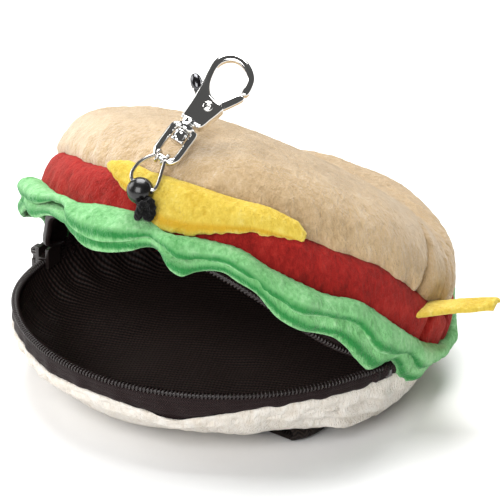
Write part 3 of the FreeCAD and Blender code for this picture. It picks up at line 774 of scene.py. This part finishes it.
def make_floor_lining():
    az = around(420)
    prof = resample([(67.1, -2.0), (66.6, -3.6), (64.8, -7.0), (61.4, -11.0), (54.0, -14.0),
                     (42.0, -15.0), (20.0, -15.2), (0.5, -15.1)], 1.1)
    p = ring_grid(az, prof)
    r = np.hypot(p[..., 0], p[..., 1])
    p[..., 2] += (1.3 * noise(p, 30, 51) + 0.6 * noise(p, 12, 52)) * smooth(r, 66, 58)
    p[..., 2] += 0.7 * np.sin(az * 33)[:, None] * smooth(r, 54, 62) * smooth(r, 66.5, 64)
    p[..., 2] = np.maximum(p[..., 2], LINING_FLOOR - RING_Z + 0.1 * noise(p, 9, 53))
    obj = skin("lining_bowl", p, cap_end=True)
    return finish_skin(obj, LINING, "lining", "base", "lining_lower")


def draw_in(az, depth=6.0):
    """How far the slack cloth of the lid is pulled in beside the left mouth corner."""
    return depth * np.exp(-((front_deg(az) + 58) / 22) ** 2)


def make_roof_lining():
    az = around(420)
    prof = resample([(67.8, 7.5), (66.4, 9.4), (62.0, 10.6), (50.0, 10.4), (30.0, 9.6),
                     (0.5, 9.2)], 1.1)
    p = ring_grid(az, prof)
    p[..., :2] *= (1 - draw_in(az) / RING_R)[:, None, None]
    p[..., 2] += 0.9 * noise(p, 26, 55) + 0.4 * noise(p, 10, 56)
    p = open_out(p)
    obj = skin("lining_roof", p, flip=True, cap_end=True)
    return finish_skin(obj, LINING, "lining", None, "lining_upper")


def tape_uv(az, along):
    u = az[:, None] * RING_R * MM + 0 * along[None, :]
    return np.stack([u, along[None, :] * MM + 0 * u], -1)


def rim_rise(az):
    """How far the shut zip line bows up between its two ends."""
    return 3.3 * smooth(np.cos(np.radians(front_deg(az) * 0.93 - 14)), 0.05, 0.62)


def make_tapes():
    az = around(520, math.pi, math.pi, closed=False)
    rise = rim_rise(az)[:, None]
    border = table(front_deg(az), TAPE_BORDER)[:, None]
    v = np.linspace(0, 1, 26)[None, :]
    top, foot = rise - 1.9, border - 2.6
    h = top + (foot - top) * v
    r = 68.2 + 0.35 * np.sin(math.pi * v) ** 0.8 - 1.1 * smooth(v, 0.55, 0.85)
    r = r + (0.3 * np.sin(az * 31 + 2) + 0.2 * np.sin(az * 57))[:, None] * np.sin(math.pi * v) ** 2
    a = az[:, None]
    p = polar(r, a, h)
    low = thick_sheet("tape_lower", p, TAPE_T, uv=tape_uv(az, 9.5 * v[0]))
    finish_skin(low, TAPE, "tape", "base", "zip_tape_lower")
    h = rise + 1.9 + (11.6 - rise) * v
    r = 68.2 + 0.4 * np.sin(math.pi * v) + 0.3 * np.sin(az * 27 + 1)[:, None] * smooth(v, 0.1, 0.7)
    r = r - draw_in(az)[:, None] * (1 + 0.3 * smooth(v, 0.1, 0.6))
    h = h + 0.5 * draw_in(az)[:, None] * (1 - v)
    p = polar(r, a, h)
    high = thick_sheet("tape_upper", p, TAPE_T, place=sag_out, uv=tape_uv(az, 11.0 * v[0]))
    finish_skin(high, TAPE, "tape", "sag", "zip_tape_upper")
    az = around(300, math.radians(1.5), math.pi - math.radians(3), closed=False)
    prof = resample([(67.8, 3.6), (68.5, 0.5), (68.6, -2.5), (68.0, -5.5), (67.2, -8.0)], 0.6)
    steps = run_length(prof)
    back = thick_sheet("gusset_back", ring_grid(az, prof), TAPE_T, uv=tape_uv(az, steps))
    finish_skin(back, TAPE, "tape", "base", "rear_gusset")


def make_coil(name, height, place, body, cad_node):
    """Spiral of a nylon coil zip round its filler cord."""
    gap = math.radians(3.0)
    pitch, wire = 1.25, 0.36
    slack = 1.0 if body == "sag" else 0.0
    count = int(RING_R * (math.pi - 2 * gap) / pitch)
    pieces, at = [], 0
    for turns, half_r, half_h, thick, m in ((14, 1.05, 0.80, wire, 7), (1, 0.0, 0.0, 0.62, 10)):
        steps = count * turns
        t = np.arange(steps + 1) / steps
        az = math.pi + gap + (math.pi - 2 * gap) * t
        wind = TAU * count * t
        r = RING_R + half_r * np.cos(wind) - slack * draw_in(az)
        h = height + rim_rise(az) + half_h * np.sin(wind) + 0.5 * slack * draw_in(az)
        path = polar(r, az, h)
        run = unit(np.gradient(path, axis=0))
        out = np.stack([np.cos(az), np.sin(az), 0 * az], -1)
        if half_r:
            out = out * np.cos(wind)[:, None] + np.array([0, 0, 1.0]) * np.sin(wind)[:, None]
        side = unit(np.cross(run, out))
        p = rings(path, thick, np.cross(side, run), side, m)
        pieces.append((place(p).reshape(-1, 3), quads(steps + 1, m, False, True, at)))
        at += (steps + 1) * m
    verts, faces = (np.concatenate(part) for part in zip(*pieces))
    obj = build(name, verts, faces)
    return finish_skin(obj, COIL, "coil", body, cad_node)


def make_strap():
    low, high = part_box("belt_loop")
    low, high = np.array(low) / MM, np.array(high) / MM
    ext = high[0]
    path = resample([(-ext + 6.5, 5.0), (-ext + 2.0, 4.6), (-ext + 0.3, 2.8), (-ext + 2.2, 1.0),
                     (-ext + 8, 0.8), (0, 0.75), (ext - 8, 0.8), (ext - 2.2, 1.0), (ext - 0.3, 2.8),
                     (ext - 2.0, 4.6), (ext - 6.5, 5.0)], 0.8)
    v = np.linspace(low[1], high[1], 28)
    p = np.stack([path[:, 0][:, None] + 0 * v[None, :], 0 * path[:, 0][:, None] + v[None, :],
                  (path[:, 1] - RING_Z)[:, None] + 0 * v[None, :]], -1)
    across = (v - v.mean()) / (v[-1] - v.mean())
    p[..., 0] *= 1 - 0.06 * across[None, :] ** 4
    steps = run_length(path)
    uv = np.stack([steps[:, None] * MM + 0 * v, v[None, :] * MM + 0 * steps[:, None]], -1)
    obj = thick_sheet("belt_strap", p, 1.4, uv=uv)
    return finish_skin(obj, WEBBING, "webbing", "base", "belt_loop")


def make_corner_tab(side, cad_node):
    """Gathered end of the tape at a mouth corner."""
    start = math.radians(173.0 if side < 0 else -9.0)
    az = around(60, start, math.radians(15.0), closed=False)
    prof = resample([(67.8, 1.6), (68.7, 0.0), (68.6, -1.6), (67.6, -3.2), (66.6, -4.6)], 0.4)
    p = ring_grid(az, prof)
    fold = 0.55 * np.sin((az - az[0]) * 95)[:, None]
    p = p + grid_normals(p, False) * fold[..., None]
    steps = run_length(prof)
    name = "corner_gather_" + ("left" if side < 0 else "right")
    obj = thick_sheet(name, p, 1.0, uv=tape_uv(az, steps))
    return finish_skin(obj, TAPE, "tape", "base", cad_node)


# ---- hardware ----
def rounded(cad_node, name, voxel, passes, mat, slot, body, slim=1.0):
    """Softens a CAD solid's edges into a cast shape."""
    src = frame["nodes"][cad_node]
    obj = add(name, src.data.copy())
    remesh = obj.modifiers.new("remesh", "REMESH")
    remesh.mode = "VOXEL"
    remesh.voxel_size = voxel
    relax = obj.modifiers.new("relax", "SMOOTH")
    relax.factor = 0.5
    relax.iterations = passes
    made = evaluated_mesh(obj)
    obj.modifiers.clear()
    obj.data = made
    made.shade_smooth()
    if slim != 1.0:
        co = np.array([v.co for v in made.vertices])
        mid = (co.max(0) + co.min(0)) / 2
        made.vertices.foreach_set("co", (mid + (co - mid) * slim).astype(np.float32).ravel())
    return finish_skin(obj, mat, slot, body, cad_node)


# chain frame: x across, z from the ball's centre towards the hook, y away from the hook's face
JOINT = {j["name"]: j for j in frame["joints"]}
CHAIN_X = np.array(JOINT["link_swing"]["axis"])
CHAIN_Z = np.array(JOINT["hook_swivel"]["axis"])
CHAIN_Y = np.cross(CHAIN_Z, CHAIN_X)
WIRE_Y, WIRE_Z = 1.8, 1.0        # the link's turning line, in front of and above the ball's centre
CHAIN_AT = (np.array(JOINT["link_swing"]["pos_m"]) / MM + WIRE_Y * CHAIN_Y - WIRE_Z * CHAIN_Z
            - np.array([0, 0, RING_Z]))


def chain_out(p):
    p = np.asarray(p, float)
    return CHAIN_AT + p[..., :1] * CHAIN_X + p[..., 1:2] * CHAIN_Y + p[..., 2:3] * CHAIN_Z


def bar(points, radius, sides=20, wrap=False, flat=1.0, step=0.22):
    """Round bar along a smooth path in the chain frame, with rounded ends."""
    pts = np.asarray(points, float)
    if wrap:
        loop = resample(np.concatenate([pts[-2:], pts, pts[:3]]), step)
        first = np.argmin(np.linalg.norm(loop[:len(loop) // 2] - pts[0], axis=1))
        last = len(loop) // 2 + np.argmin(np.linalg.norm(loop[len(loop) // 2:] - pts[0], axis=1))
        path = loop[first:last]
    else:
        path = resample(pts, step)
    run = np.roll(path, -1, 0) - np.roll(path, 1, 0) if wrap else np.gradient(path, axis=0)
    run = unit(run)
    face = np.array([0.0, 1.0, 0.0]) if np.ptp(path[:, 1]) < 0.4 else np.array([1.0, 0.0, 0.0])
    side = unit(np.cross(run, face))
    up = np.cross(side, run)
    s = run_length(path)
    size = np.full(len(path), float(radius)) if np.isscalar(radius) else radius(s / s[-1])
    if not wrap:
        near = np.minimum(s, s[-1] - s)
        size = size * np.sqrt(np.clip(1 - np.clip(1 - near / size, 0, 1) ** 2, 0.002, 1))
    return chain_out(rings(path, size[:, None, None], side, flat * up, sides)), wrap


def cast(name, mat, body, node_name, *pieces, slot="chrome"):
    verts, faces, at = [], [], 0
    for p, wrap in pieces:
        verts.append(p.reshape(-1, 3))
        faces.append(quads(p.shape[0], p.shape[1], wrap, True, at))
        at += p.shape[0] * p.shape[1]
    obj = build(name, np.concatenate(verts), np.concatenate(faces))
    return finish_skin(obj, mat, slot, body, node_name)


def turned(profile, x=0.0, y=None, z=0.0, sides=48):
    """Solid turned about the chain, or about the flat hook's normal when y is given."""
    c = TAU * np.arange(sides) / sides
    r, h = np.array(profile, float).T
    ring = [r[:, None] * np.cos(c), r[:, None] * np.sin(c), h[:, None] + 0 * c]
    p = np.stack([ring[0] + x, ring[1], ring[2] + z] if y is None
                 else [ring[0] + x, ring[2] + y, ring[1] + z], -1)
    return chain_out(p), False


def plate_cut(name, outline, half_t, bevel, mat, body, node_name, slim=None):
    """Flat casting with rolled edges from an outline in the chain frame."""
    pts = resample(list(outline) + [outline[0]], 0.25)[:-1]
    curve = bpy.data.curves.new(name, "CURVE")
    curve.dimensions = "2D"
    curve.fill_mode = "BOTH"
    curve.extrude = half_t - bevel
    curve.bevel_depth, curve.bevel_resolution, curve.offset = bevel, 4, -bevel
    spline = curve.splines.new("POLY")
    spline.points.add(len(pts) - 1)
    for point, (x, z) in zip(spline.points, pts):
        point.co = (x, z, 0, 1)
    spline.use_cyclic_u = True
    drawn = add(name, curve)
    mesh = evaluated_mesh(drawn)
    bpy.data.objects.remove(drawn)
    bpy.data.curves.remove(curve)
    co = np.array([v.co for v in mesh.vertices])
    x, z, y = co[:, 0], co[:, 1], -co[:, 2]
    if slim:
        y = y * slim(x, z)
    place = (chain_out(np.stack([x, y, z], -1)) + np.array([0, 0, RING_Z])) * MM
    mesh.vertices.foreach_set("co", place.astype(np.float32).ravel())
    mesh.update()
    mesh.shade_smooth()
    mesh.set_sharp_from_angle(angle=math.radians(40))
    return finish_skin(add(name, mesh), mat, "chrome", body, node_name)


HOOK_HALF_T = 2.3
RIVET_X, RIVET_Z = 2.3, 34.9
HOOK_LINE = [(-3.3, 27.5), (-3.45, 31.0), (-3.6, 34.5), (-3.9, 38.0), (-4.5, 41.5), (-5.1, 44.6),
             (-5.5, 47.8), (-5.0, 51.0), (-3.0, 53.8), (0.2, 55.1), (3.4, 54.9), (6.6, 53.4),
             (9.0, 51.0), (10.1, 47.8), (10.2, 45.2), (9.0, 44.4), (7.9, 45.1), (7.75, 47.8),
             (6.9, 50.1), (4.4, 51.9), (1.5, 52.8), (-1.0, 52.1), (-2.75, 50.1), (-3.3, 47.6),
             (-2.7, 44.4), (-1.7, 41.8), (0.1, 39.4), (1.9, 38.5), (3.6, 38.1), (5.3, 38.0),
             (6.7, 36.8), (6.5, 34.8), (5.6, 31.5), (4.2, 27.5), (0.5, 27.3)]
LEVER_LINE = [(4.3, 34.0), (6.9, 37.4), (9.6, 42.2), (9.9, 43.8), (8.9, 44.3), (7.7, 43.7),
              (5.4, 40.1), (3.2, 37.2), (0.5, 37.2), (-4.0, 39.6), (-5.6, 39.2), (-5.4, 37.6),
              (-1.0, 35.0), (1.2, 33.2)]


def make_hook():
    plate_cut("hook_cast", HOOK_LINE, HOOK_HALF_T, 1.05, CHROME, "hook", "hook_body",
              lambda x, z: 1 - 0.42 * smooth(z, 36.5, 47))
    plate_cut("lever_cast", LEVER_LINE, 0.95, 0.4, CHROME, "trigger", "trigger_lever")
    along = np.array([-0.756, 0.0, 0.654])
    t = np.linspace(0.02, math.pi - 0.02, 28)[:, None]
    c = TAU * np.arange(28)[None, :] / 28
    pad = (np.array([-6.1, 0, 40.3]) - 3.1 * np.cos(t)[..., None] * along
           + 1.95 * (np.sin(t) ** 0.8 * np.cos(c))[..., None] * np.array([0.654, 0, 0.756])
           + 2.1 * (np.sin(t) ** 0.7 * np.sin(c))[..., None] * np.array([0, 1.0, 0]))
    # the thumb pad takes the darker chrome copy: painted shade for the lever's shadow side
    cast("thumb_pad", CHROME_PAINTED_SHADE, "trigger", "trigger_lever", (chain_out(pad), False))
    head = [(0.02, -0.1), (0.55, -0.1), (0.7, -0.25), (0.85, -0.5), (1.35, -0.5), (1.7, -0.3),
            (1.75, 0.2)]
    front = turned(head, RIVET_X, -HOOK_HALF_T, RIVET_Z)
    back = turned([(r, -h) for r, h in head], RIVET_X, HOOK_HALF_T, RIVET_Z)
    cast("rivet_heads", CHROME, "hook", "trigger_rivet", front, back)
    cast("post_turned", CHROME, "hook", "swivel_post",
         turned([(0.02, 19.7), (1.9, 19.7), (2.3, 20.1), (2.4, 20.8), (2.05, 21.3), (2.4, 21.8),
                 (2.05, 22.3), (2.4, 22.8), (2.4, 23.6), (2.1, 24.0), (1.6, 24.1), (1.6, 26.7)]),
         turned([(1.6, 26.5), (2.3, 26.7), (2.7, 27.1), (2.5, 27.5), (2.9, 27.9), (2.9, 28.4),
                 (1.0, 28.6)]))


def make_eye_and_wire():
    w, low, top = 3.75, 12.9, 25.3
    loop = [(-w, 0, 16.0), (-w + 0.25, 0, 14.5), (-w + 1.5, 0, low + 0.2), (0, 0, low),
            (w - 1.5, 0, low + 0.2), (w - 0.25, 0, 14.5), (w, 0, 16.0), (w, 0, 20.0),
            (w, 0, 23.2), (w - 0.35, 0, top - 0.6), (w - 1.5, 0, top), (0, 0, top),
            (-w + 1.5, 0, top), (-w + 0.35, 0, top - 0.6), (-w, 0, 23.2), (-w, 0, 20.0)]
    eye = bar(loop, 1.22, wrap=True, sides=24, flat=1.1)
    plug = turned([(1.7, 24.3), (2.7, 24.3), (3.0, 24.7), (3.0, 26.0), (2.7, 26.4), (1.7, 26.4)])
    cast("eye_cast", CHROME, "eye", "swivel_eye", eye, plug)
    left = [(-1.2, -1.8, 0.6), (-3.6, -1.8, 1.1), (-5.0, -1.8, 2.6), (-5.4, -1.8, 4.6),
            (-5.2, -1.8, 7.2), (-4.3, -1.8, 9.6), (-3.2, -1.7, 11.4), (-2.5, -1.75, 12.4)]
    right = [(-1.2, -1.8, 0.6), (1.3, -1.8, 1.0), (3.4, -1.8, 1.5), (4.2, -1.8, 2.7),
             (3.6, -1.8, 5.6), (2.5, -1.8, 8.8), (1.6, -1.7, 11.2), (1.1, -1.75, 12.4)]
    t = np.linspace(0, TAU, 25)
    curl_r, curl_z = 1.75, 12.95
    curls = []
    for x0, drift in ((-2.5, 0.9), (1.1, -0.8)):
        turn_line = [(x0 + drift * a / TAU, -curl_r * math.cos(a), curl_z + curl_r * math.sin(a))
                     for a in t]
        curls.append(bar(turn_line, 0.58, 12))
    cast("wire_cast", WIRE, "link", "wire_link", bar(left, 0.6, 12), bar(right, 0.6, 12), *curls,
         slot="wire")


def make_hardware():
    make_hook()
    make_eye_and_wire()
    rounded("pull_tab", "pull_cast", 0.0002, 4, ENAMEL, "zip_metal", "pull")
    rounded("zip_slider", "slider_cast", 0.0002, 4, ENAMEL, "zip_metal", "slider", 0.85)
    for name, mat in (("ball", BEAD), ("slider_bail", ENAMEL), ("zip_stop_start", ENAMEL),
                      ("zip_stop_end", ENAMEL), ("trigger_spring", STEEL)):
        dress(frame["nodes"][name], mat)
        frame["nodes"][name].data.shade_smooth()


def make_knot():
    low, high = (np.array(c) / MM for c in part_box("cord_knot"))
    mid, half = (low + high) / 2, (high - low) / 2
    t = np.linspace(0, TAU, 260, endpoint=False)
    path = np.stack([np.sin(t) + 1.7 * np.sin(2 * t), np.cos(t) - 1.7 * np.cos(2 * t),
                     -1.3 * np.sin(3 * t)], -1)
    path = path / np.abs(path).max(0) * (half - 0.9)
    path = path + mid - np.array([0, 0, RING_Z])
    tangent = unit(np.roll(path, -1, 0) - np.roll(path, 1, 0))
    side = unit(np.cross(tangent, np.array([0.3, 0.5, 0.8])))
    sides = 18
    a = TAU * np.arange(sides) / sides
    strand = 1.15 + 0.16 * np.cos(3 * a[None, :] + 26 * t[:, None])
    p = rings(path, strand[..., None], side, np.cross(tangent, side), sides)
    p = nap(p, True, True, 0.1, 71)
    obj = skin("cord_knot_yarn", p, wrap_v=True)
    return finish_skin(obj, CORD, "cord", "cord_ball", "cord_knot")


# ---- stage ----
def make_stage():
    bpy.ops.mesh.primitive_plane_add(size=8, location=(0, 0, 0))
    floor = bpy.context.object
    floor.name = "floor"
    m, _, bsdf = material("floor")
    set_inputs(bsdf, {"Base Color": (0.9, 0.9, 0.9, 1), "Roughness": 0.9})
    dress(floor, m)
    world = bpy.data.worlds.new("studio")
    world.use_nodes = True
    world.node_tree.nodes["Background"].inputs[0].default_value = (1, 1, 1, 1)
    world.node_tree.nodes["Background"].inputs[1].default_value = 0.10
    bpy.context.scene.world = world
    for name, place, aim, size, power in (
            ("key_top", (-0.30, 0.45, 1.05), (0, 0, 0.04), 0.9, 24),
            ("fill_front", (0.35, -1.1, 0.75), (0, 0, 0.04), 0.9, 15),
            ("side_left", (-1.0, -0.3, 0.5), (0, 0, 0.04), 0.7, 7)):
        light = bpy.data.lights.new(name, "AREA")
        light.energy = power
        light.size = size
        lamp = add(name, light)
        lamp.location = place
        lamp.rotation_euler = (Vector(aim) - Vector(place)).to_track_quat("-Z", "Y").to_euler()
    bpy.context.scene.view_settings.view_transform = "Standard"


CAMERA_AZ, CAMERA_EL, CAMERA_AWAY = math.radians(39.24), math.radians(27), 3.0
AIM_RIGHT, AIM_UP = 0.00796, 0.0173      # aim from the middle of the zip line
VIEW_WIDTH = 0.16187                     # what the frame takes in at the aim


def make_camera():
    az, el, away = CAMERA_AZ, CAMERA_EL, CAMERA_AWAY
    back = Vector((math.sin(az) * math.cos(el), -math.cos(az) * math.cos(el), math.sin(el)))
    right = Vector((math.cos(az), math.sin(az), 0))
    up = back.cross(right)
    aim = Vector((0, 0, RING_Z * MM)) + right * AIM_RIGHT + up * AIM_UP
    cam = add("camera", bpy.data.cameras.new("camera"))
    cam.location = aim + back * away
    cam.rotation_euler = (-back).to_track_quat("-Z", "Y").to_euler()
    cam.data.sensor_width = 36
    cam.data.lens = 36 * away / VIEW_WIDTH
    cam.data.clip_end = 20
    bpy.context.scene.camera = cam


make_camera()
make_top_bun()
make_tomato()
make_lettuce()
make_cheese_front()
make_cheese_right()
make_bottom_bun()
make_floor_lining()
make_roof_lining()
make_tapes()
make_coil("coil_lower", -1.35, same, "base", "zip_coil_lower")
make_coil("coil_upper", 1.35, sag_out, "sag", "zip_coil_upper")
make_strap()
make_corner_tab(-1, "corner_tab_left")
make_corner_tab(1, "corner_tab_right")
make_hardware()
make_knot()
make_stage()
